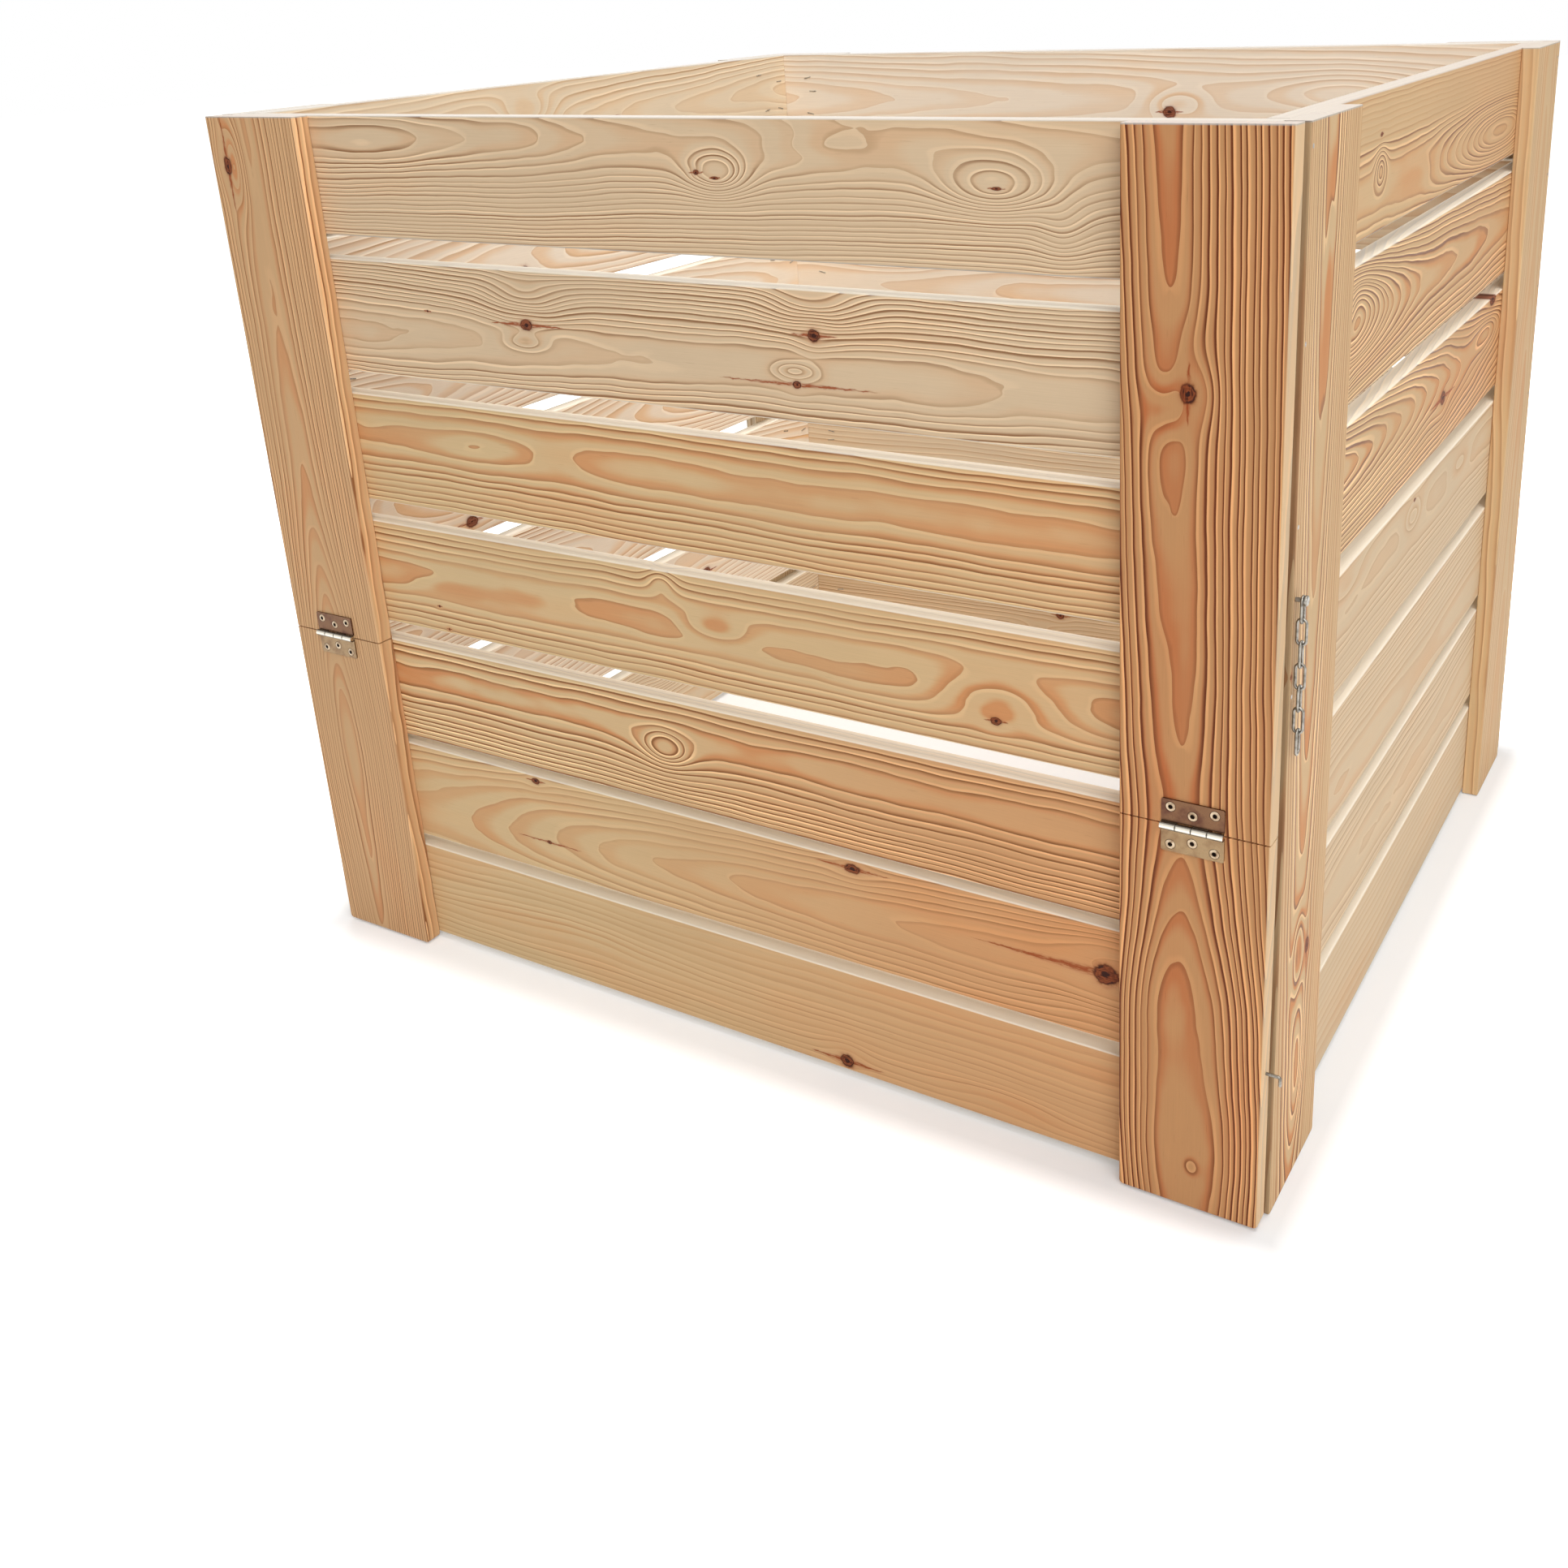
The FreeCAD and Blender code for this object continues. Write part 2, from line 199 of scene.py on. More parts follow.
def newMaterial(name):
    material = bpy.data.materials.new(name)
    material.use_nodes = True
    tree = material.node_tree
    return material, tree, tree.nodes["Principled BSDF"]


def assign(piece, material):
    piece.data.materials.clear()
    piece.data.materials.append(material)


# Pine. Every piece is solid wood: its growth rings are tubes round a pith line that runs beside the
# board, so the faces, edges and sawn ends all show the same rings. All lengths here are millimetres
# in the piece's own directions: along the grain, across the face and deep into the thickness.

# A swell is a place where the rings bulge towards the face or away from it, which draws flames and eyes
swellNumbers = ("x", "y", "length", "width", "height")
swellMarks = {"rise": 0.0, "slopeAlong": 0.0, "slopeAcross": 0.0}


def makeSwellGroup():
    inputs = dict.fromkeys(("along", "across", *swellMarks, *swellNumbers), "Float")
    tree, given, leave = newGroup("ringSwell", inputs, dict.fromkeys(swellMarks, "Float"))
    dx = divide(tree, less(tree, given["along"], given["x"]), given["length"])
    dy = divide(tree, less(tree, given["across"], given["y"]), given["width"])
    swell = times(tree, given["height"], bell(tree, dx, dy))
    steep = times(tree, swell, -2.0)  # a bell's slope at any place is this times how far out it is
    slopeAlong = times(tree, steep, divide(tree, dx, given["length"]))
    slopeAcross = times(tree, steep, divide(tree, dy, given["width"]))
    feed(tree, leave.inputs["rise"], add(tree, given["rise"], swell))
    feed(tree, leave.inputs["slopeAlong"], add(tree, given["slopeAlong"], slopeAlong))
    feed(tree, leave.inputs["slopeAcross"], add(tree, given["slopeAcross"], slopeAcross))
    return tree


# In these looks a pair is a factor and what is added to it, or where a ramp starts and ends. Four numbers
# are a ramp's start and end, and what it gives there.
knotLook = {
    "raggedNoise": ((0.16, 0.22, 0.1), 3.0, 3.0), "crackNoise": ((0.10, 0.9, 0.1), 7.0, 2.0),
    "outline": 0.9,  # how ragged the outline is
    "heart": (0.86, 1.0, 1.0, 0.0), "heartRings": 13.0, "heartShade": (0.16, 0.26),  # in sizes of the knot
    "heartCracks": (0.50, 0.58, 0.0, 0.5), "core": (0.20, 0.46, 0.75, 0.0),
    "rimAt": 0.95, "rimWidth": 0.15, "rimBreaks": (-0.10, 0.12, 0.65, 1.0),
    "halo": 0.9, "haloFall": -4.0,
    "tailWidth": 0.42, "tailTaper": 1.6, "tailEnd": (0.0, 0.25), "tailBreaks": (0.38, 0.54, 0.55, 1.3),
    "tailLeast": 0.45, "tailWander": 3.0,  # millimetres
    "flowLong": 3.4, "flowWide": 2.8, "flowHold": 0.9,  # how far and how much the grain flows round it
}
knotNumbers = ("x", "y", "size", "stretch", "tail")
knotMarks = ("bent", "keep", "dark", "rust")


def makeKnotGroup():
    look = knotLook
    inputs = dict.fromkeys(("along", "across", *knotMarks, *knotNumbers), "Float")
    tree, given, leave = newGroup("knot", inputs, dict.fromkeys(knotMarks, "Float"))
    size = given["size"]
    dx = less(tree, given["along"], given["x"])
    dy = less(tree, given["across"], given["y"])
    place = pack(tree, given["along"], given["across"], given["x"])
    ragged = less(tree, noise(tree, place, *look["raggedNoise"]), 0.5)
    crack = noise(tree, place, *look["crackNoise"])
    reach = distance(tree, divide(tree, dx, given["stretch"]), dy)
    reach = add(tree, divide(tree, reach, size), times(tree, ragged, look["outline"]))

    # A brown heart with rings and cracks of its own, and a dark rim
    rings = calc(tree, "SINE", times(tree, reach, look["heartRings"]))
    shade = add(tree, scaled(tree, rings, *look["heartShade"]), ramp(tree, crack, *look["heartCracks"]))
    shade = add(tree, shade, ramp(tree, reach, *look["core"]))
    beyond = less(tree, reach, look["rimAt"])
    rim = bell(tree, divide(tree, beyond, look["rimWidth"]), 0.0)
    rim = times(tree, rim, ramp(tree, ragged, *look["rimBreaks"]))
    dark = larger(tree, times(tree, ramp(tree, reach, *look["heart"]), shade), rim)

    # A rust-coloured halo, and tails that taper off along the grain
    halo = calc(tree, "EXPONENT", times(tree, larger(tree, beyond, 0.0), look["haloFall"]))
    far = calc(tree, "DIVIDE", positive(tree, dx), given["tail"], clamp=True)
    left = less(tree, 1.0, far)
    taper = calc(tree, "POWER", left, look["tailTaper"])
    thin = scaled(tree, times(tree, size, look["tailWidth"]), taper, look["tailLeast"])
    wobble = scaled(tree, ragged, look["tailWander"], dy)
    streak = times(tree, bell(tree, divide(tree, wobble, thin), 0.0), ramp(tree, left, *look["tailEnd"]))
    streak = times(tree, streak, ramp(tree, crack, *look["tailBreaks"]))
    rust = larger(tree, times(tree, halo, look["halo"]), streak)

    # The grain flows round the knot
    wide = times(tree, size, look["flowWide"])
    long = times(tree, size, times(tree, given["stretch"], look["flowLong"]))
    near = bell(tree, divide(tree, dx, long), divide(tree, dy, wide))
    keep = less(tree, 1.0, times(tree, near, look["flowHold"]))
    bent = add(tree, given["y"], times(tree, less(tree, given["bent"], given["y"]), keep))
    feed(tree, leave.inputs["bent"], bent)
    feed(tree, leave.inputs["keep"], times(tree, given["keep"], keep))
    feed(tree, leave.inputs["dark"], larger(tree, given["dark"], dark))
    feed(tree, leave.inputs["rust"], larger(tree, given["rust"], rust))
    return tree


# The colours of a piece's early wood, late wood, flames and knots
toneParts = ("early", "late", "flame", "knot")
pineTones = {
    "sand": ((219, 193, 159), (150, 110, 76), (214, 168, 124), (54, 24, 16)),
    "honey": ((216, 187, 142), (142, 92, 54), (208, 146, 96), (50, 22, 14)),
    "amber": ((210, 170, 126), (140, 90, 54), (210, 142, 92), (50, 22, 14)),
    "red": ((195, 144, 97), (108, 54, 28), (185, 107, 63), (46, 18, 12)),
    "gold": ((210, 178, 135), (130, 82, 48), (203, 139, 88), (54, 26, 18)),
    "pale": ((214, 189, 155), (154, 114, 80), (207, 158, 112), (60, 32, 22)),
    # bone and cream are paler wood, made paler still as painted light for the brighter inside of the bin
    "litBone": ((223, 206, 179), (176, 138, 100), (222, 186, 142), (60, 32, 22)),
    "litCream": ((240, 228, 210), (184, 144, 104), (230, 190, 144), (64, 34, 24)),
}

# Each noise has its changes per millimetre along, across and inwards, a seed of its own, its detail and
# its roughness
pineNoises = {
    "wander": ((0.0032, 0.0075, 0.0075), 0.0, 1.0, 0.5),
    "shiver": ((0.010, 0.026, 0.026), 5.0, 2.5, 0.5),
    "patches": ((0.0045, 0.019, 0.019), 9.0, 2.0, 0.5),
    "fibre": ((0.016, 1.1, 1.1), 13.0, 3.0, 0.6),
    "fleck": ((0.05, 0.9, 0.9), 17.0, 1.0, 0.5),
}

pineLook = {
    "shiver": 4.5, "unevenEvery": 0.45, "uneven": (1.6, -0.8),  # how unsteady the rings are
    "leastDensity": 0.008, "crisp": (0.04, 0.20),  # in rings per millimetre of the surface
    "lineShare": 0.42, "lineWidth": (-2.8, 4.6),
    "darkLine": (0.15, 1.0, 1.0, 0.0), "ringHighlight": (0.3, 0.9, 1.0, 0.0),
    "lineByRing": (0.7, 0.45), "lineByPatch": (0.3, 0.6, 0.55, 1.1), "lineByCrisp": (0.72, 0.28),
    "lineByFocus": (0.8, 1.2, 1.0, 0.2),
    "bandStart": (0.38, 0.78), "bandEdge": 0.25, "bandByRing": (0.4, 0.6),
    "flameByDensity": (0.05, 0.20, 1.25, 0.75), "flameByPatch": (0.35, 0.62, 0.70, 1.0),
    "flameByRise": (1.0, 8.0, 0.8, 1.3),
    "warmAlong": (-260.0, 380.0), "warmPatch": (0.50, 0.75), "warmPatchMost": 0.25,
    "fleck": (0.68, 0.76), "fleckDark": 0.30,
    "shadeByPatch": (0.20, 0.90), "shadeByFibre": (0.16, -0.08), "ringHighlightLight": 0.34,
    "strip": (232, 204, 164), "rust": (152, 70, 34), "rustMost": 0.92, "sawnMost": 0.8,
    "roughByFibre": (0.14, 0.56), "lineSmooth": 0.10,
    "lineHeight": 0.22, "fibreHeight": 0.10, "knotDepth": 0.15,
}


def pineNoise(tree, given, place, kind, colour=False):
    stretch, ownSeed, detail, roughness = pineNoises[kind]
    return noise(tree, place, stretch, add(tree, given["seed"], ownSeed), detail, roughness, colour)


# How many rings each point is from the pith line, which leans and wanders along the board
def countRings(tree, given, place):
    look = pineLook
    wander = unpack(tree, pineNoise(tree, given, place, "wander", colour=True))
    sway, nod = (times(tree, given["wave"], scaled(tree, part, 2.0, -1.0)) for part in wander[:2])
    pithAcross = add(tree, given["pithAcross"], times(tree, given["lean"], given["along"]))
    pithDeep = add(tree, given["pithDeep"], times(tree, given["dip"], given["along"]))
    sideways = add(tree, less(tree, given["bent"], pithAcross), sway)
    inwards = add(tree, less(tree, given["deep"], pithDeep), nod)
    fromPith = distance(tree, sideways, inwards)
    shiver = less(tree, pineNoise(tree, given, place, "shiver"), 0.5)
    rings = add(tree, add(tree, fromPith, given["rise"]), times(tree, shiver, look["shiver"]))
    rings = divide(tree, rings, given["ringGap"])
    uneven = pack(tree, times(tree, rings, look["unevenEvery"]), 0.0, 0.0)
    uneven = noise(tree, uneven, (1.0, 1.0, 1.0), given["seed"])
    rings = add(tree, rings, scaled(tree, uneven, *look["uneven"]))
    return rings, sideways, divide(tree, sideways, fromPith)


# Each ring is pale wood that slowly turns orange, then a thin dark line beside a pale one: pale early wood,
# brightened further as a painted highlight of the ring's relief
def drawRings(tree, given, place, patches):
    look = pineLook
    rings, sideways, tilt = countRings(tree, given, place)
    phase = calc(tree, "FRACT", rings)
    chance = tree.nodes.new("ShaderNodeTexWhiteNoise")
    chance.noise_dimensions = "2D"
    feed(tree, chance.inputs["Vector"], pack(tree, calc(tree, "FLOOR", rings), given["seed"], 0.0))
    ringTone = chance.outputs["Value"]
    steep = distance(tree, add(tree, tilt, given["slopeAcross"]), given["slopeAlong"])
    density = times(tree, divide(tree, steep, given["ringGap"]), given["keep"])
    density = larger(tree, density, look["leastDensity"])
    crisp = ramp(tree, density, *look["crisp"])

    # Lines keep their width where the rings are dense, and are broad and weak where they are wide apart
    width = divide(tree, look["lineShare"], density)
    width = smaller(tree, width, scaled(tree, crisp, *look["lineWidth"]))
    toEnd = divide(tree, less(tree, 1.0, phase), density)
    fromStart = divide(tree, phase, density)
    strength = scaled(tree, ringTone, *look["lineByRing"])
    strength = times(tree, strength, ramp(tree, patches, *look["lineByPatch"]))
    strength = times(tree, times(tree, strength, given["lines"]), scaled(tree, crisp, *look["lineByCrisp"]))
    beside = divide(tree, positive(tree, sideways), given["focus"])
    strength = times(tree, strength, ramp(tree, beside, *look["lineByFocus"]))
    darkLine = times(tree, ramp(tree, divide(tree, toEnd, width), *look["darkLine"]), strength)
    ringHighlight = times(tree, ramp(tree, divide(tree, fromStart, width), *look["ringHighlight"]), strength)

    # The orange bands are the flames, fullest where the rings are wide apart
    bandEnd = less(tree, 1.0, times(tree, look["bandEdge"], density))
    band = times(tree, ramp(tree, phase, *look["bandStart"]), ramp(tree, phase, bandEnd, 1.0, 1.0, 0.0))
    band = times(tree, band, scaled(tree, ringTone, *look["bandByRing"]))
    flames = times(tree, times(tree, band, given["flames"]), ramp(tree, density, *look["flameByDensity"]))
    flames = times(tree, flames, ramp(tree, patches, *look["flameByPatch"]))
    flames = times(tree, flames, ramp(tree, given["rise"], *look["flameByRise"]))
    return darkLine, ringHighlight, smaller(tree, flames, 1.0)


def makePineGroup():
    look = pineLook
    floats = ("along", "across", "deep", *knotMarks, *swellMarks, "pithAcross", "pithDeep", "ringGap")
    floats += ("lean", "dip", "wave", "seed", "lines", "flames", "flecks", "pale", "strip", "warm", "focus")
    colours = (*toneParts, "sawn")
    inputs = {**dict.fromkeys(floats, "Float"), **dict.fromkeys(colours, "Color")}
    outputs = {"colour": "Color", "roughness": "Float", "height": "Float"}
    tree, given, leave = newGroup("pine", inputs, outputs)
    place = pack(tree, given["along"], given["across"], given["deep"])
    patches = pineNoise(tree, given, place, "patches")
    fibre = pineNoise(tree, given, place, "fibre")
    fleck = ramp(tree, pineNoise(tree, given, place, "fleck"), *look["fleck"])
    fleck = times(tree, fleck, given["flecks"])
    darkLine, ringHighlight, flames = drawRings(tree, given, place, patches)

    # Colour: slow changes of tone, orange bands, the lines with a painted highlight beside each dark one,
    # flecks and fine fibres
    colour = blendColour(tree, flames, given["early"], given["flame"])
    warm = times(tree, ramp(tree, given["along"], *look["warmAlong"]), given["warm"])
    warmPatch = times(tree, ramp(tree, patches, *look["warmPatch"]), look["warmPatchMost"])
    colour = blendColour(tree, add(tree, warm, warmPatch), colour, given["flame"])
    colour = blendColour(tree, darkLine, colour, given["late"])
    colour = blendColour(tree, times(tree, fleck, look["fleckDark"]), colour, given["late"])
    shade = scaled(tree, patches, *look["shadeByPatch"])
    shade = add(tree, shade, scaled(tree, fibre, *look["shadeByFibre"]))
    # The pale line brightens the wood as a painted highlight of the ring's relief
    shade = add(tree, shade, times(tree, ringHighlight, look["ringHighlightLight"]))
    colour = shadeColour(tree, colour, shade)

    # Then what lies over it: a strip of sapwood, the painted highlight on the edges, and the knots with
    # their tails, whose dark mark also carries the painted shadow along a joint
    colour = blendColour(tree, given["strip"], colour, screenColour(*look["strip"]))
    # A painted highlight: the edges turn paler, standing in for the light on them
    colour = blendColour(tree, times(tree, given["pale"], look["sawnMost"]), colour, given["sawn"])
    rust = smaller(tree, given["rust"], look["rustMost"])
    colour = blendColour(tree, rust, colour, screenColour(*look["rust"]))
    colour = blendColour(tree, smaller(tree, given["dark"], 1.0), colour, given["knot"])
    roughness = scaled(tree, fibre, *look["roughByFibre"])
    roughness = less(tree, roughness, times(tree, darkLine, look["lineSmooth"]))
    height = add(tree, times(tree, darkLine, look["lineHeight"]), times(tree, fibre, look["fibreHeight"]))
    height = less(tree, height, times(tree, given["dark"], look["knotDepth"]))
    feed(tree, leave.inputs["colour"], colour)
    feed(tree, leave.inputs["roughness"], roughness)
    feed(tree, leave.inputs["height"], height)
    return tree


# What a piece has unless its own figure says otherwise. The pith is (across, deep) from the piece's middle,
# the gap is from ring to ring, and the slope is the pith's, per millimetre along.
plainFigure = {
    "tone": "pale", "pith": (0.0, 40.0), "gap": 5.0, "slope": (0.0, 0.0), "wave": 10.0,
    "lines": 0.8, "flames": 0.5, "flecks": 0.6, "warm": 0.0, "swells": (), "knots": (),
    "focus": 1000.0,  # how far to each side of the pith the lines stay strong
    "paleSide": 0.0, "jointShadowSide": 0.0,  # where an edge has a strip of sapwood or a painted shadow along a joint, if any
}

# The figure of the pieces that the eye meets first. Swells are (along, across, length, width, height)
# and knots are (along, across, size, stretch, tail).
figures = {
    "front_board_1": {
        "tone": "sand", "pith": (36.0, 42.0), "gap": 3.0, "slope": (0.0, 0.03), "wave": 5.0, "lines": 1.02,
        "flames": 0.5,
        "swells": (
            (54.0, 10.0, 30.0, 17.0, -17.0), (300.0, 6.0, 44.0, 20.0, -19.0),
            (352.0, -24.0, 20.0, 22.0, -7.0),
            (-330.0, 34.0, 90.0, 18.0, -5.0), (170.0, 36.0, 60.0, 14.0, 4.0),
        ),
        "knots": ((34.0, 12.0, 1.8, 1.4, 8.0), (52.0, 8.0, 1.1, 3.0, 6.0), (300.0, 6.0, 1.2, 3.0, 8.0)),
    },
    "front_board_2": {
        "tone": "sand", "pith": (-13.0, 44.0), "gap": 2.7, "slope": (0.0, 0.012), "wave": 4.0,
        "lines": 1.15, "flames": 0.5,
        "swells": (
            (-171.0, -10.0, 26.0, 8.0, 7.0), (116.0, -12.0, 24.0, 8.0, 8.0),
            (138.0, 38.0, 46.0, 20.0, 12.0), (-164.0, 28.0, 44.0, 20.0, 11.0),
        ),
        "knots": (
            (-166.0, 6.0, 4.6, 1.4, 46.0), (136.0, 18.0, 5.0, 1.1, 24.0), (117.0, -23.0, 2.8, 1.5, 80.0),
            (-285.0, 11.0, 1.0, 1.0, 5.0),
        ),
    },
    "front_board_3": {
        "tone": "honey", "pith": (14.0, 39.8), "gap": 4.6, "slope": (-0.008, 0.0), "wave": 4.0,
        "lines": 1.05, "flames": 1.0, "warm": 0.15,
        "swells": (
            (-245.0, 15.0, 46.0, 13.0, -3.2), (-150.0, 16.0, 36.0, 22.0, 2.0),
        ),
    },
    "front_board_4": {
        "tone": "honey", "pith": (2.0, 37.6), "gap": 4.4, "slope": (0.0, 0.0), "wave": 4.0, "lines": 0.98,
        "flames": 0.85, "warm": 0.15,
        "swells": (
            (-210.0, 0.0, 60.0, 12.0, 3.5), (12.0, 8.0, 34.0, 13.0, 7.6), (292.0, -6.0, 56.0, 22.0, 13.0),
            (-300.0, -4.0, 60.0, 12.0, 4.5), (-44.0, 44.0, 16.0, 14.0, -8.0), (150.0, 4.0, 60.0, 9.0, 2.5),
        ),
        "knots": (
            (288.0, -26.0, 3.4, 1.4, 12.0), (-327.0, -26.0, 1.1, 1.2, 4.0),
            (-318.0, -49.0, 1.2, 1.0, 4.0),
        ),
    },
    "flap_board_1": {
        "tone": "honey", "pith": (18.0, 31.5), "gap": 4.3, "slope": (0.0, 0.0), "wave": 3.0, "lines": 2.0,
        "flames": 1.1, "warm": 0.70,
        "swells": (
            (-58.0, 3.0, 24.0, 16.0, -13.0), (-60.0, -10.0, 56.0, 30.0, -6.0),
            (120.0, 20.0, 100.0, 18.0, -1.5), (320.0, 18.0, 100.0, 18.0, -1.5),
        ),
    },
    "flap_board_2": {
        "tone": "honey", "pith": (-4.0, 38.0), "gap": 4.6, "slope": (0.025, -0.03), "wave": 2.0,
        "lines": 0.8, "flames": 0.5, "warm": 0.75,
        "swells": ((383.0, -30.0, 60.0, 20.0, 8.0), (-392.0, -6.0, 190.0, 44.0, 14.0)),
        "knots": (
            (-229.0, 48.0, 3.2, 1.5, 14.0), (141.0, 45.0, 4.4, 1.7, 42.0), (-221.0, -19.0, 1.8, 1.6, 44.0),
            (383.0, 9.0, 9.0, 1.15, 130.0),
        ),
    },
    "flap_board_3": {
        "tone": "honey", "pith": (70.0, 50.0), "gap": 6.0, "slope": (0.0, 0.0), "wave": 8.0, "lines": 0.42,
        "flames": 0.35, "warm": 0.60,
        "swells": ((290.0, -26.0, 60.0, 14.0, 8.0), (-200.0, 10.0, 120.0, 24.0, 9.0)),
        "knots": ((122.0, -44.0, 6.4, 1.1, 42.0),),
    },
    "front_left": {
        "tone": "amber", "pith": (-10.0, 30.0), "gap": 3.6, "slope": (0.0, 0.0), "wave": 2.0, "lines": 0.9,
        "flames": 0.75,
        "swells": (
            (-215.0, -9.0, 210.0, 50.0, -27.0), (389.0, -27.0, 46.0, 12.0, 11.0),
            (-440.0, -8.0, 120.0, 30.0, -12.0),
        ),
        "knots": ((389.0, -39.0, 4.6, 1.7, 48.0),),
    },
    "front_right": {
        "tone": "red", "pith": (-14.0, 19.8), "gap": 4.5, "slope": (-0.028, -0.0215), "wave": 1.6,
        "lines": 1.8, "flames": 1.05, "paleSide": 60.0,
        "swells": (
            (243.0, -25.0, 22.0, 15.0, 9.0), (288.0, -10.0, 26.0, 20.0, 3.0), (-391.0, 3.0, 9.0, 7.0, 5.0),
            (60.0, -20.0, 120.0, 14.0, 3.0), (-380.0, 0.0, 190.0, 90.0, -26.0),
            (-330.0, -2.0, 160.0, 22.0, 9.0),
            (-230.0, -6.0, 60.0, 90.0, -4.5), (-70.0, -14.0, 60.0, 40.0, 3.0),
        ),
        "knots": ((254.0, -9.0, 5.4, 1.25, 24.0),),
    },
    "right_front_post": {
        "tone": "gold", "pith": (-9.0, 25.0), "gap": 4.4, "slope": (0.0, -0.040), "wave": 1.8, "lines": 3.6,
        "flames": 1.3, "jointShadowSide": -60.0, "focus": 30.0,
        "swells": (
            (330.0, -8.0, 120.0, 10.0, 5.0), (-214.0, -8.0, 40.0, 15.0, 14.0),
            (-330.0, 2.0, 60.0, 16.0, -10.0),
        ),
        "knots": ((-220.0, 15.0, 4.6, 1.5, 30.0), (46.0, -57.0, 1.6, 1.2, 5.0)),
    },
    "right_rear_post": {
        "tone": "gold", "pith": (10.0, 52.0), "gap": 5.6, "slope": (0.0, 0.02), "wave": 6.0, "lines": 0.7,
        "flames": 0.6,
    },
    "right_board_1": {
        "tone": "gold", "pith": (-22.0, 44.0), "gap": 3.7, "slope": (0.0, 0.0), "wave": 3.0, "lines": 1.35,
        "flames": 0.55, "warm": 0.3, "focus": 36.0,
        "swells": (
            (-206.0, -6.0, 15.0, 14.0, -12.0), (250.0, -20.0, 190.0, 32.0, -36.0),
            (-90.0, -24.0, 80.0, 14.0, 4.0),
        ),
        "knots": ((-209.0, 21.0, 1.5, 2.2, 6.0),),
    },
    "right_board_2": {
        "tone": "gold", "pith": (2.0, 34.0), "gap": 3.8, "slope": (0.0, 0.025), "wave": 3.0, "lines": 2.1,
        "flames": 0.95, "warm": 0.3,
        "swells": ((-300.0, 14.0, 130.0, 40.0, -42.0), (-282.0, 20.0, 22.0, 20.0, 16.0)),
        "knots": ((-280.0, -25.0, 4.8, 1.2, 18.0),),
    },
    "right_board_3": {
        "tone": "gold", "pith": (14.0, 38.0), "gap": 3.9, "slope": (-0.02, 0.085), "wave": 3.0,
        "lines": 2.8, "flames": 0.95, "warm": 0.45,
        "swells": ((270.0, 22.0, 70.0, 20.0, -14.0),),
        "knots": ((73.0, -5.0, 6.4, 1.4, 56.0), (286.0, 52.0, 6.0, 2.2, 20.0)),
    },
    "right_board_4": {
        "tone": "pale", "pith": (24.0, 44.0), "gap": 4.2, "lines": 0.8, "flames": 0.4, "wave": 5.0,
        "swells": (
            (-20.0, 28.0, 36.0, 14.0, 12.0), (-240.0, 34.0, 60.0, 14.0, 6.0),
            (180.0, 26.0, 50.0, 14.0, 8.0),
        ),
        "knots": ((-18.0, 44.0, 1.6, 2.0, 6.0),),
    },
    "right_board_5": {
        "tone": "pale", "pith": (-30.0, 48.0), "gap": 4.6,
        "lines": 0.65, "flames": 0.5, "wave": 8.0,
    },
    "right_board_6": {
        "tone": "pale", "pith": (-10.0, 48.0), "gap": 4.4,
        "lines": 0.7, "flames": 0.35, "wave": 8.0,
    },
    "right_board_7": {
        "tone": "pale", "pith": (-70.0, 52.0), "gap": 7.0,
        "lines": 0.3, "flames": 0.35, "wave": 8.0,
    },
    "back_board_1": {
        "tone": "litCream", "pith": (-6.0, 44.0), "gap": 5.4, "slope": (0.0, 0.03), "wave": 6.0, "lines": 0.5,
        "swells": ((90.0, -10.0, 40.0, 18.0, 12.0), (300.0, 0.0, 90.0, 24.0, -18.0)),
        "knots": ((79.0, -21.0, 6.4, 1.2, 20.0),),
    },
    "left_board_1": {
        "tone": "litBone", "pith": (6.0, -40.0), "gap": 4.6, "slope": (0.0, 0.04), "wave": 6.0, "lines": 0.9,
        "swells": ((-80.0, 22.0, 46.0, 20.0, 16.0),),
        "knots": ((-30.0, 6.0, 4.4, 2.2, 120.0),),
    },
    "left_board_2": {
        "tone": "litCream", "pith": (-8.0, -36.0), "gap": 4.6, "slope": (0.0, 0.05), "wave": 8.0, "lines": 1.0,
        "flames": 0.8, "knots": ((-116.0, -26.0, 6.0, 1.4, 30.0),),
    },
    "left_board_3": {
        "tone": "litCream", "pith": (0.0, -40.0), "gap": 4.6, "slope": (0.0, -0.06), "wave": 8.0, "lines": 1.0,
        "flames": 0.8, "knots": ((401.0, -24.0, 6.0, 1.4, 40.0), (-116.0, 20.0, 4.0, 1.4, 30.0)),
    },
    "left_board_4": {
        "tone": "litCream", "pith": (10.0, -36.0), "gap": 4.8, "slope": (0.0, 0.08), "wave": 8.0, "lines": 1.1,
        "flames": 0.9, "knots": ((-247.0, -37.0, 6.0, 1.4, 30.0),),
    },
    "left_board_5": {
        "tone": "litCream", "pith": (-10.0, -34.0), "gap": 5.0, "slope": (0.0, -0.08), "wave": 8.0,
        "lines": 1.1, "flames": 1.0,
    },
}

# Ranges for the pieces that no view of the photograph singles out
looseFigure = {
    # mostly the paler tones, painted lighter for the brighter inside of the bin
    "tones": ("litCream", "litBone", "litBone", "pale"), "pithAcross": 50.0, "pithDeep": (28.0, 56.0),
    "gap": (4.0, 5.6), "wave": (4.0, 9.0), "lines": (0.6, 0.95), "flames": (0.3, 0.8), "slope": 0.04,
    "reach": (400.0, 42.0),  # how far swells and knots lie from the middle, along and across
    "swellCount": (2, 4), "swellLength": (25.0, 120.0), "swellWidth": (13.0, 22.0),
    "swellHeight": (7.0, 16.0),
    "knotCounts": (0, 1, 1, 2, 3), "knotSize": (2.5, 6.5), "knotStretch": (1.0, 1.8),
    "knotTail": (3.0, 8.0),  # in sizes of the knot
}


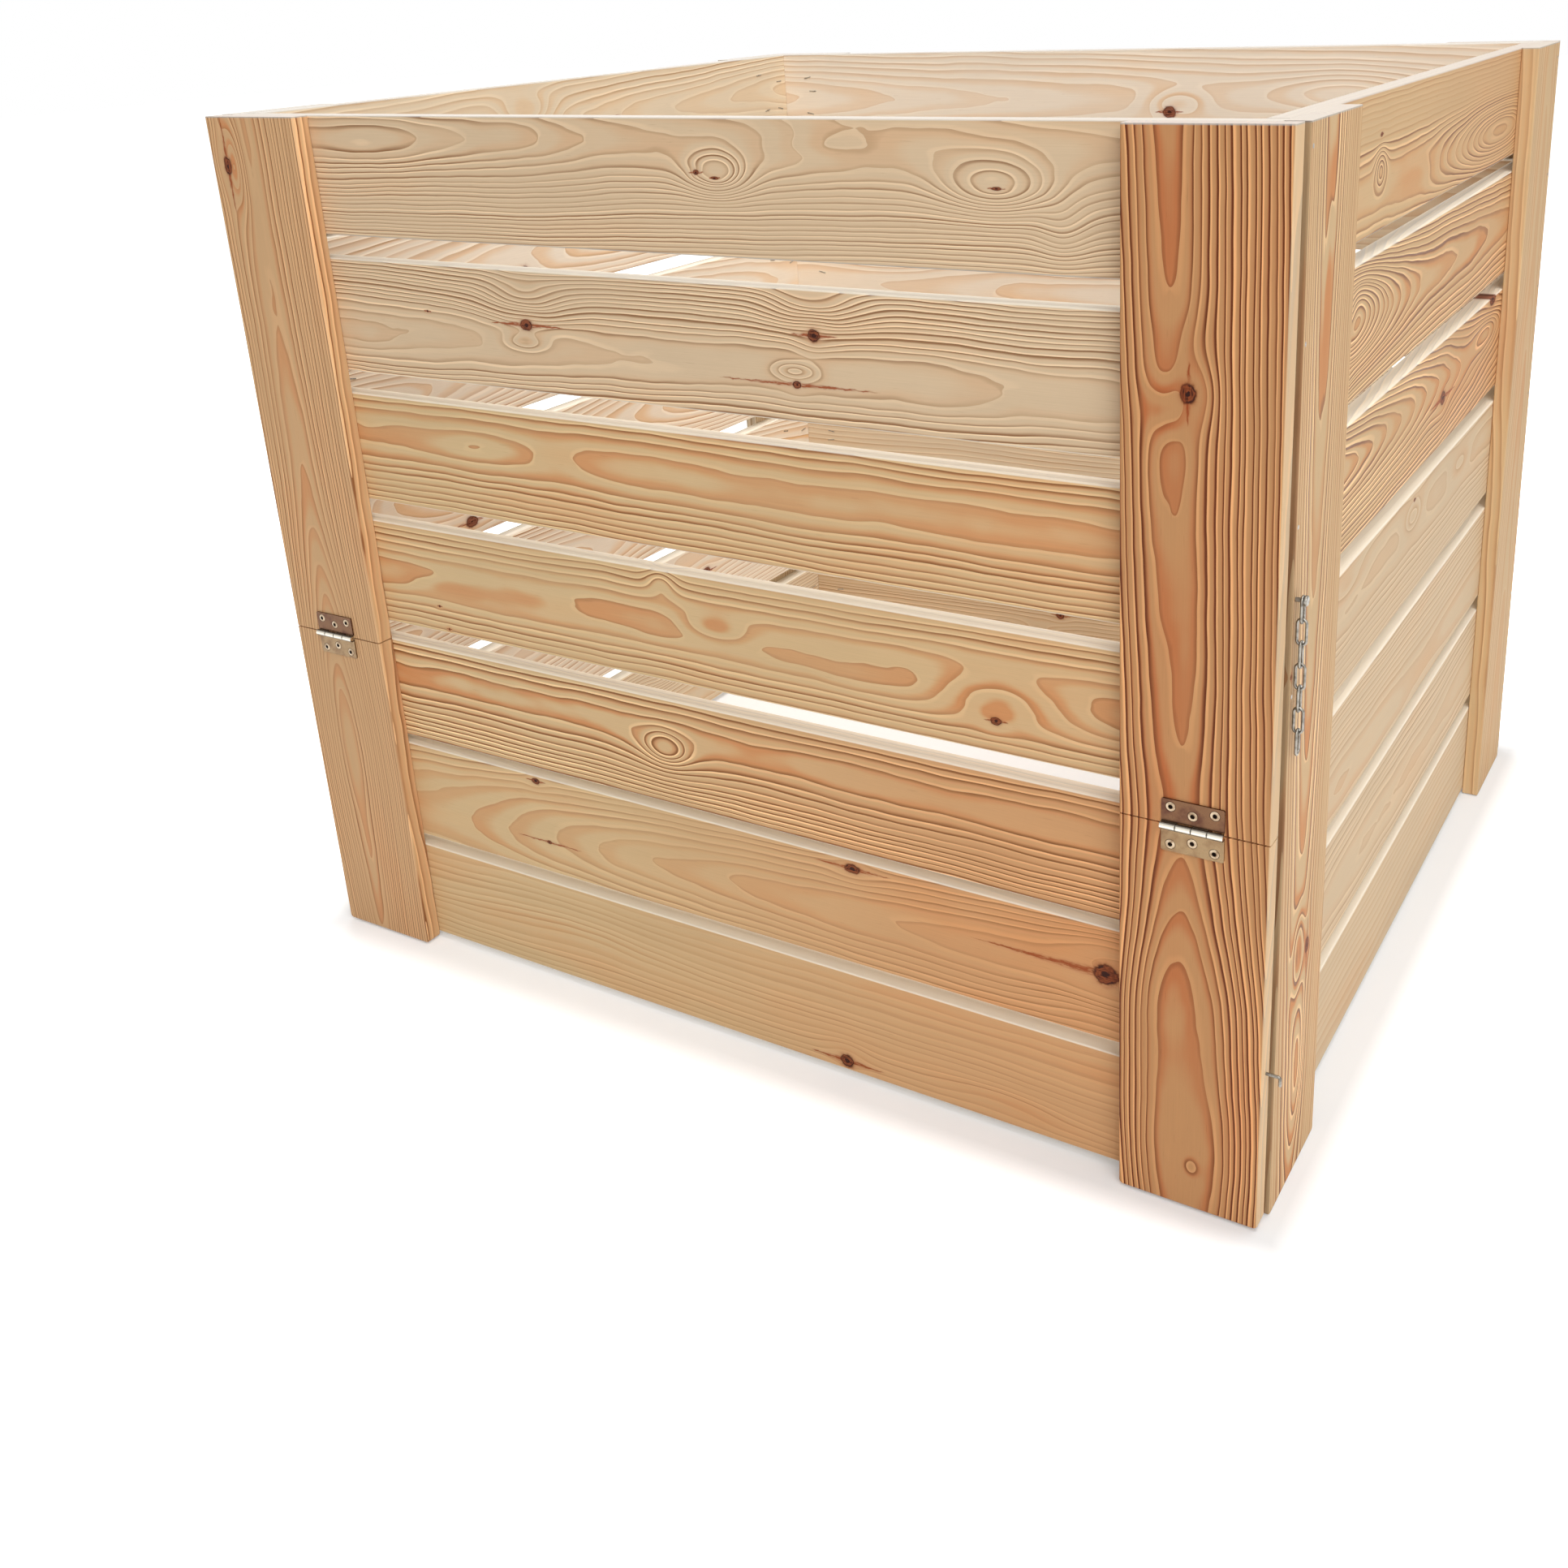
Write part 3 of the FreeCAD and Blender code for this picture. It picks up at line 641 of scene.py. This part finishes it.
def pickFigure(seed):
    chance = random.Random(seed)
    loose = looseFigure
    farAlong, farAcross = loose["reach"]
    swells = []
    for _ in range(chance.randint(*loose["swellCount"])):
        swells.append((
            chance.uniform(-farAlong, farAlong), chance.uniform(-farAcross, farAcross),
            chance.uniform(*loose["swellLength"]), chance.uniform(*loose["swellWidth"]),
            chance.uniform(*loose["swellHeight"]),
        ))
    knots = []
    for _ in range(chance.choice(loose["knotCounts"])):
        size = chance.uniform(*loose["knotSize"])
        knots.append((
            chance.uniform(-farAlong, farAlong), chance.uniform(-farAcross, farAcross),
            size, chance.uniform(*loose["knotStretch"]), size * chance.uniform(*loose["knotTail"]),
        ))
    return {
        "tone": chance.choice(loose["tones"]),
        "pith": (
            chance.uniform(-1, 1) * loose["pithAcross"],
            chance.choice((-1, 1)) * chance.uniform(*loose["pithDeep"]),
        ),
        "gap": chance.uniform(*loose["gap"]), "wave": chance.uniform(*loose["wave"]),
        "lines": chance.uniform(*loose["lines"]), "flames": chance.uniform(*loose["flames"]),
        "slope": (chance.uniform(-1, 1) * loose["slope"], chance.uniform(-1, 1) * loose["slope"]),
        "swells": tuple(swells), "knots": tuple(knots),
    }


# Which way the grain, the face and the thickness of a piece run
grainWays = {
    "crossBoard": "xzy",
    "sideBoard": "yzx",
    "crossPost": "zxy",
    "sidePost": "zyx",
}

timberLook = {
    "fadeFrom": 1.6, "fadeTo": 0.5,  # how far inside an edge its painted highlight starts, and is full
    "strip": 0.75, "jointShadow": 0.45,  # how strong the sapwood strip and the painted shadow along a joint are
    "sawn": (244, 236, 220), "rim": (190, 186, 180),  # the painted highlight on the edges, and a greyer one for those at the top of the bin
    "rimReach": 0.002,  # in metres, how near the bin's top a piece has to reach
    "relief": 0.6, "reliefDepth": 0.001, "gloss": 0.14,
    "firstSeed": 11, "seedStep": 7,
}


def isPost(name):
    return name.endswith("_post")


def pieceWay(name):
    if isPost(name):
        return "crossPost" if name.startswith(("front_", "flap_", "back_")) else "sidePost"
    return "sideBoard" if name.startswith(("left_", "right_")) else "crossBoard"


def pieceMiddle(name):
    low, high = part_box(name)
    middle = (low + high) / 2
    if isPost(name):  # the two halves of a sawn post share their grain
        middle.z = binTop / 2
    return middle


def figureName(name):
    if name in ("front_left_post", "flap_left_post"):
        return "front_left"
    if name in ("front_right_post", "flap_right_post"):
        return "front_right"
    return name


def grainPlace(tree, name):
    where = tree.nodes.new("ShaderNodeTexCoord").outputs["Object"]
    offset = vectorCalc(tree, "SUBTRACT", where, tuple(pieceMiddle(name)))
    local = unpack(tree, vectorCalc(tree, "MULTIPLY", offset, (millimetres,) * 3))
    along, across, deep = (local["xyz".index(letter)] for letter in grainWays[pieceWay(name)])
    if name.startswith("right_"):  # seen from outside, so that the pith lies towards the bin's middle
        deep = times(tree, deep, -1.0)
    return along, across, deep


# A painted highlight on a board's long edges or a post's ends: paler wood standing in for the light they
# catch
def sawnEdge(tree, name, along, across):
    low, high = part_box(name)
    reach = positive(tree, along if isPost(name) else across)
    half = (binTop if isPost(name) else high.z - low.z) * millimetres / 2
    return ramp(tree, reach, half - timberLook["fadeFrom"], half - timberLook["fadeTo"])


def addFeatures(tree, group, numbers, rows, marks, along, across):
    for row in rows:
        made = useGroup(tree, group, along=along, across=across, **dict(zip(numbers, row)), **marks)
        marks = {name: made[name] for name in marks}
    return marks


def makePineMaterial(name, seed):
    look = timberLook
    key = figureName(name)
    figure = {**plainFigure, **(figures[key] if key in figures else pickFigure(seed))}
    tones = dict(zip(toneParts, (screenColour(*tone) for tone in pineTones[figure["tone"]])))
    material, tree, shader = newMaterial("pine." + name)
    along, across, deep = grainPlace(tree, name)
    strip, jointShadow = 0.0, 0.0
    if figure["paleSide"]:
        edge = figure["paleSide"]
        strip = ramp(tree, across, edge - look["fadeFrom"], edge - look["fadeTo"], 0.0, look["strip"])
    # A painted shadow along the edge where the piece meets the next one, carried in the knots' dark mark
    if figure["jointShadowSide"]:
        edge = figure["jointShadowSide"]
        jointShadow = ramp(tree, across, edge + look["fadeFrom"], edge + look["fadeTo"], 0.0, look["jointShadow"])
    swells = addFeatures(tree, swellGroup, swellNumbers, figure["swells"], swellMarks, along, across)
    marks = {"bent": across, "keep": 1.0, "dark": jointShadow, "rust": 0.0}
    marks = addFeatures(tree, knotGroup, knotNumbers, figure["knots"], marks, along, across)
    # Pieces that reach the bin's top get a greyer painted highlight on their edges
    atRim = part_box(name)[1].z > binTop - look["rimReach"]
    pine = useGroup(
        tree, pineGroup, along=along, across=across, deep=deep, **swells, **marks, **tones,
        pithAcross=figure["pith"][0], pithDeep=figure["pith"][1], ringGap=figure["gap"],
        lean=figure["slope"][0], dip=figure["slope"][1], wave=figure["wave"], seed=float(seed),
        lines=figure["lines"], flames=figure["flames"], flecks=figure["flecks"], warm=figure["warm"],
        focus=figure["focus"], pale=sawnEdge(tree, name, along, across), strip=strip,
        sawn=screenColour(*look["rim" if atRim else "sawn"]),
    )
    feed(tree, shader.inputs["Base Color"], pine["colour"])
    feed(tree, shader.inputs["Roughness"], pine["roughness"])
    bumpSurface(tree, shader, pine["height"], look["relief"], look["reliefDepth"])
    shader.inputs["Specular IOR Level"].default_value = look["gloss"]
    return material


swellGroup = makeSwellGroup()
knotGroup = makeKnotGroup()
pineGroup = makePineGroup()


def dressTimber():
    timber = sorted(name for name in nodes if isPost(name) or "_board_" in name)
    seeds = {}
    for name in timber:
        key = figureName(name)
        seeds.setdefault(key, timberLook["firstSeed"] + timberLook["seedStep"] * len(seeds))
        assign(nodes[name], makePineMaterial(name, seeds[key]))
    print("timber:", len(timber), "pieces")


# Metal: plating colours with the stains and fine scratches that handling leaves; the two hinge leaves are
# one plating, painted darker on the upper leaf and paler on the lower one as painted reflections. Polish is
# the roughness of the smoothest and of the most worn places.

metals = {
    "upperLeaf": {"colour": (104, 76, 56), "stain": (78, 50, 42), "polish": (0.26, 0.38), "scale": 60.0},
    "litLowerLeaf": {"colour": (134, 112, 84), "stain": (108, 82, 60), "polish": (0.26, 0.38), "scale": 60.0},
    "pin": {"colour": (214, 206, 190), "stain": (150, 136, 112), "polish": (0.20, 0.32), "scale": 200.0},
    "hingeScrew": {
        "colour": (176, 158, 134), "stain": (128, 104, 80), "polish": (0.22, 0.36), "scale": 200.0,
    },
    "staple": {"colour": (188, 188, 186), "stain": (120, 116, 108), "polish": (0.30, 0.48), "scale": 220.0},
    "nail": {"colour": (150, 146, 140), "stain": (84, 76, 66), "polish": (0.32, 0.50), "scale": 260.0},
    "chain": {"colour": (146, 142, 134), "stain": (98, 92, 84), "polish": (0.30, 0.46), "scale": 200.0},
}

platingLook = {
    "stainNoise": (2.0, 4.0, 0.6), "stainFrom": (0.42, 0.70),  # seed, detail and roughness
    "scratchSeed": 6.0, "scratchLong": 0.3, "scratchFine": 9.0,
    "stainWear": 0.6, "scratchWear": 0.4,
    "relief": 0.25, "reliefDepth": 0.0002,
}

# Lengths in millimetres from a hinge's middle, its pin's middle or a screw's middle
hingeLook = {
    "barrelHighlight": (232, 224, 208), "barrelEdge": (3.05, 3.3),  # barrelEdge is just outside the knuckles; the barrel's pale colour is a painted highlight
    "knuckle": 12.575, "jointWidth": 0.6,  # how long a knuckle is, and how wide the dark joint beside it
    # the colour of the dark joints between the knuckles, and of the painted shade and shadow on the hinge
    "darkJointsAndShade": (26, 18, 14),
    "under": (-1.6, 0.2, 0.8, 0.0), "over": (1.7, 2.5, 0.0, 0.75),  # painted shade on the barrel's underside and top, by height, leaving a painted highlight between
    "screws": ((17.5, 16.0), (0.0, 11.5)),  # sideways and up or down
    # painted shade in each screw's recess, and a painted shadow ring round each head
    "recess": (1.5, 2.3, 1.0, 0.0), "rim": (3.7, 4.7, 1.0, 0.0), "screwShadow": 0.8,
}


def hingePlaces(tree, where):
    axis = next(joint["pos_m"] for joint in frame["joints"] if joint["name"] == "flap_hinge")
    leftLow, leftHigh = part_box("left_hinge_upper_leaf")
    rightLow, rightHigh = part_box("right_hinge_upper_leaf")
    left, right = (leftLow.x + leftHigh.x) / 2, (rightLow.x + rightHigh.x) / 2
    x, y, z = unpack(tree, vectorCalc(tree, "SUBTRACT", where, ((left + right) / 2, axis[1], axis[2])))
    fromMiddle = positive(tree, less(tree, positive(tree, x), (right - left) / 2))
    fromMiddle = times(tree, fromMiddle, millimetres)
    fromAxis = times(tree, distance(tree, y, z), millimetres)
    up = times(tree, positive(tree, z), millimetres)
    reaches = []
    for side, height in hingeLook["screws"]:
        reaches.append(distance(tree, less(tree, fromMiddle, side), less(tree, up, height)))
    return fromMiddle, fromAxis, times(tree, z, millimetres), smaller(tree, *reaches)


# Painted shade in each screw's recess
def shadeScrewRecess(tree, where, colour):
    *_, fromScrew = hingePlaces(tree, where)
    recess = ramp(tree, fromScrew, *hingeLook["recess"])
    return blendColour(tree, recess, colour, screenColour(*hingeLook["darkJointsAndShade"]))


# A painted highlight on the barrel over a darker leaf, with dark joints between the knuckles, painted shade
# on the barrel's top and underside, and a painted shadow round the screws
def paintLeafLightAndShade(tree, where, colour):
    look = hingeLook
    fromMiddle, fromAxis, height, fromScrew = hingePlaces(tree, where)
    barrelHighlight = ramp(tree, fromAxis, *look["barrelEdge"], 1.0, 0.0)
    colour = blendColour(tree, barrelHighlight, colour, screenColour(*look["barrelHighlight"]))
    middle = bell(tree, divide(tree, fromMiddle, look["jointWidth"]), 0.0)
    outer = bell(tree, divide(tree, less(tree, fromMiddle, look["knuckle"]), look["jointWidth"]), 0.0)
    around = add(tree, ramp(tree, height, *look["under"]), ramp(tree, height, *look["over"]))
    # The dark joints between the knuckles, with the painted shade on the barrel's top and underside
    joints = times(tree, larger(tree, larger(tree, middle, outer), around), barrelHighlight)
    # A painted shadow ring round each screw head
    rim = times(tree, ramp(tree, fromScrew, *look["rim"]), look["screwShadow"])
    return blendColour(tree, larger(tree, joints, rim), colour, screenColour(*look["darkJointsAndShade"]))


def makeMetal(name):
    look = platingLook
    settings = metals[name]
    scale = settings["scale"]
    fine = scale * look["scratchFine"]
    material, tree, shader = newMaterial("metal." + name)
    where = tree.nodes.new("ShaderNodeTexCoord").outputs["Object"]
    stain = ramp(tree, noise(tree, where, (scale,) * 3, *look["stainNoise"]), *look["stainFrom"])
    scratch = noise(tree, where, (scale * look["scratchLong"], fine, fine), look["scratchSeed"])
    colour = blendColour(tree, stain, screenColour(*settings["colour"]), screenColour(*settings["stain"]))
    if name == "hingeScrew":
        colour = shadeScrewRecess(tree, where, colour)
    elif name.endswith("Leaf"):
        colour = paintLeafLightAndShade(tree, where, colour)
    wear = add(tree, times(tree, stain, look["stainWear"]), times(tree, scratch, look["scratchWear"]))
    feed(tree, shader.inputs["Base Color"], colour)
    feed(tree, shader.inputs["Roughness"], ramp(tree, wear, 0.0, 1.0, *settings["polish"]))
    bumpSurface(tree, shader, wear, look["relief"], look["reliefDepth"])
    shader.inputs["Metallic"].default_value = 1.0
    return material


def metalOf(name):
    if name.endswith("_staples"):
        return "staple"
    if name.endswith("_nails"):
        return "nail"
    if name.endswith("hinge_screws"):
        return "hingeScrew"
    if name.endswith("hinge_pin"):
        return "pin"
    if name.endswith("_leaf"):
        return "upperLeaf" if "upper" in name else "litLowerLeaf"
    return "chain"


def dressMetal():
    made = {name: makeMetal(name) for name in metals}
    fittings = sorted(name for name in nodes if not isPost(name) and "_board_" not in name)
    for name in fittings:
        assign(nodes[name], made[metalOf(name)])
    print("metal:", len(fittings), "pieces")


# Studio: a white floor that keeps the shadow and has a painted shadow at the bin's foot, soft light from
# above and a white surround

studio = {
    "floorSize": 30.0, "floorSeen": 0.93, "floorBounce": 0.90, "surround": 0.28,
    "whiteNear": 0.28, "whiteAt": 0.10,  # the floor turns white with distance from the bin
    "shade": 0.38, "paintedShadowAt": (-0.02, 0.045),  # a soft painted shadow at the foot, by distance from the bin, fuller on the right than on the left
    "paintedShadowSide": (-0.3, 0.5),  # fuller on the right than on the left
    "lampsAim": (0.0, 0.0, 0.4),
    "lamps": {
        "key": {"place": (3.3, -3.7, 3.9), "size": 4.0, "power": 172.0},
        "over": {"place": (0.7, -0.1, 3.4), "size": 2.2, "power": 72.0},
        "back": {"place": (-2.8, 2.4, 2.8), "size": 2.6, "power": 55.0},
    },
}
plainWhite = (1.0, 1.0, 1.0, 1.0)


def greyColour(share):
    return (share, share, share, 1.0)


def seenDirectly(tree):
    path = tree.nodes.new("ShaderNodeLightPath")
    glossy = larger(tree, path.outputs["Is Camera Ray"], path.outputs["Is Glossy Ray"])
    return larger(tree, glossy, path.outputs["Is Transmission Ray"])


def makeFloor():
    bpy.ops.object.select_all(action="DESELECT")
    bpy.ops.mesh.primitive_plane_add(size=studio["floorSize"], location=(0.0, 0.0, 0.0))
    floor = bpy.context.object
    floor.name = "floor"
    material, tree, shader = newMaterial("studioFloor")
    direct = seenDirectly(tree)
    x, y, _ = unpack(tree, tree.nodes.new("ShaderNodeTexCoord").outputs["Object"])
    beyondX = larger(tree, less(tree, positive(tree, x), cadBox[1][0]), 0.0)
    beyondY = larger(tree, less(tree, positive(tree, y), cadBox[1][1]), 0.0)
    away = distance(tree, beyondX, beyondY)
    # A painted shadow: the floor darkens near the bin's foot, more on the right
    shade = ramp(tree, x, *studio["paintedShadowSide"], studio["shade"] / 2, studio["shade"])
    shade = less(tree, 1.0, times(tree, shade, ramp(tree, away, *studio["paintedShadowAt"], 1.0, 0.0)))
    white = times(tree, ramp(tree, away, 0.0, studio["whiteAt"], studio["whiteNear"], 1.0), shade)
    seen = shadeColour(tree, greyColour(studio["floorSeen"]), shade)
    colour = blendColour(tree, direct, greyColour(studio["floorBounce"]), seen)
    feed(tree, shader.inputs["Base Color"], colour)
    shader.inputs["Emission Color"].default_value = plainWhite
    feed(tree, shader.inputs["Emission Strength"], times(tree, white, direct))
    shader.inputs["Roughness"].default_value = 1.0
    shader.inputs["Specular IOR Level"].default_value = 0.0
    assign(floor, material)


def makeSurround():
    world = bpy.data.worlds.new("surround")
    bpy.context.scene.world = world
    world.use_nodes = True
    tree = world.node_tree
    background = tree.nodes["Background"]
    background.inputs["Color"].default_value = plainWhite
    strength = ramp(tree, seenDirectly(tree), 0.0, 1.0, studio["surround"], 1.0)
    feed(tree, background.inputs["Strength"], strength)


def aimAt(thing, target):
    thing.rotation_euler = (Vector(target) - thing.location).to_track_quat("-Z", "Y").to_euler()


def makeLamps():
    for name, lamp in studio["lamps"].items():
        data = bpy.data.lights.new(name + "Lamp", "AREA")
        data.shape = "DISK"
        data.size = lamp["size"]
        data.energy = lamp["power"]
        thing = bpy.data.objects.new(name + "Lamp", data)
        bpy.context.scene.collection.objects.link(thing)
        thing.location = lamp["place"]
        aimAt(thing, studio["lampsAim"])


# Camera: at eye height, in front and to the right, as the photograph was taken

view = {
    "place": (0.8315, -1.4920, 0.9663), "turn": 0.5347, "tilt": -0.3418, "roll": -0.0438,
    "lens": 37.08, "sensor": 36.0, "shift": (-0.085, -0.15),
}


def makeCamera():
    data = bpy.data.cameras.new("camera")
    data.lens = view["lens"]
    data.sensor_width = view["sensor"]
    data.shift_x, data.shift_y = view["shift"]
    camera = bpy.data.objects.new("camera", data)
    bpy.context.scene.collection.objects.link(camera)
    camera.location = view["place"]
    level = Euler((math.pi / 2 + view["tilt"], 0.0, view["turn"])).to_quaternion()
    camera.rotation_euler = (level @ Quaternion((0.0, 0.0, 1.0), view["roll"])).to_euler()
    bpy.context.scene.camera = camera


makeFloor()
makeSurround()
makeLamps()
makeCamera()
bpy.context.scene.view_settings.view_transform = "Standard"
print("studio ready")
dressTimber()
dressMetal()
